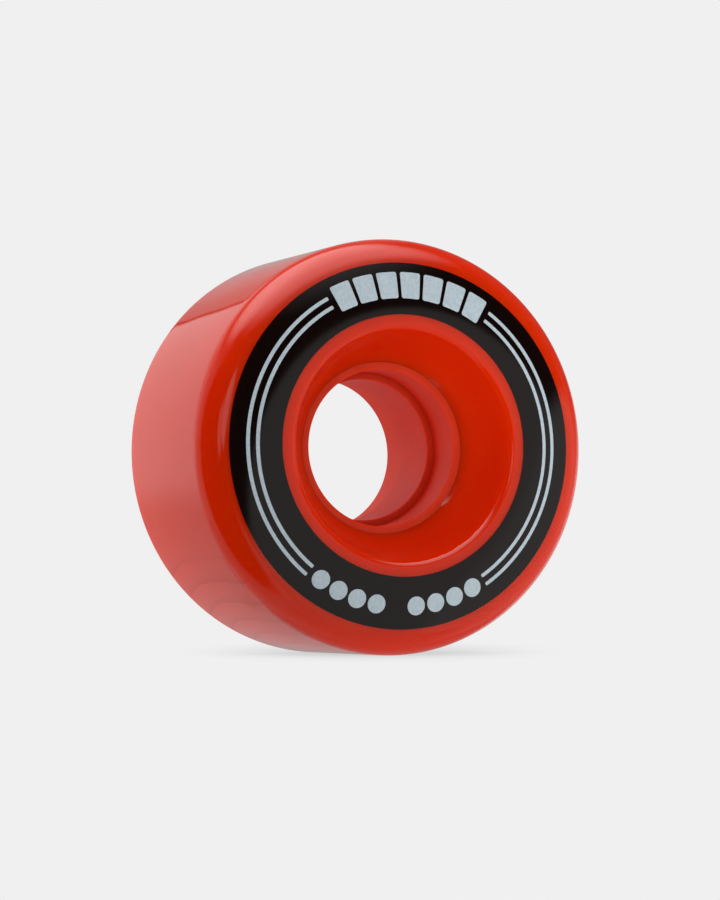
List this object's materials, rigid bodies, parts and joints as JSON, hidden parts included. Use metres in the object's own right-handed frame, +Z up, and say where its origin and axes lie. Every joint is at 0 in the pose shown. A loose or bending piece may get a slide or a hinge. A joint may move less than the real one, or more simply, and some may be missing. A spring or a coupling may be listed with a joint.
{
  "type": "roller skate wheel",
  "caption": "Bare roller skate wheel: broad cast tyre with a deep bowl in its printed front face and a stepped bore with a bearing seat at each end.",
  "frame": {"origin": "centre of the wheel, on the axle line, midway between the crest of the bowl's rim and the back face", "axes": "+Y along the axle towards the back face, the printed front face towards -Y, +Z up with the wheel standing on its tread"},
  "size_m": [0.058, 0.032, 0.058],
  "materials": {
    "tyre_polyurethane": "gloss",
    "core_polyurethane": "satin",
    "black_ink": "satin",
    "pale_ink": "satin"
  },
  "bodies": {
    "root": {"tyre": "tyre_polyurethane", "hub_core": "core_polyurethane", "print_band": "black_ink", "left_outer_stripe": "pale_ink", "left_inner_stripe": "pale_ink", "right_outer_stripe": "pale_ink", "right_inner_stripe": "pale_ink", "top_bars": "pale_ink", "bottom_dots": "pale_ink"}
  },
  "joints": []
}
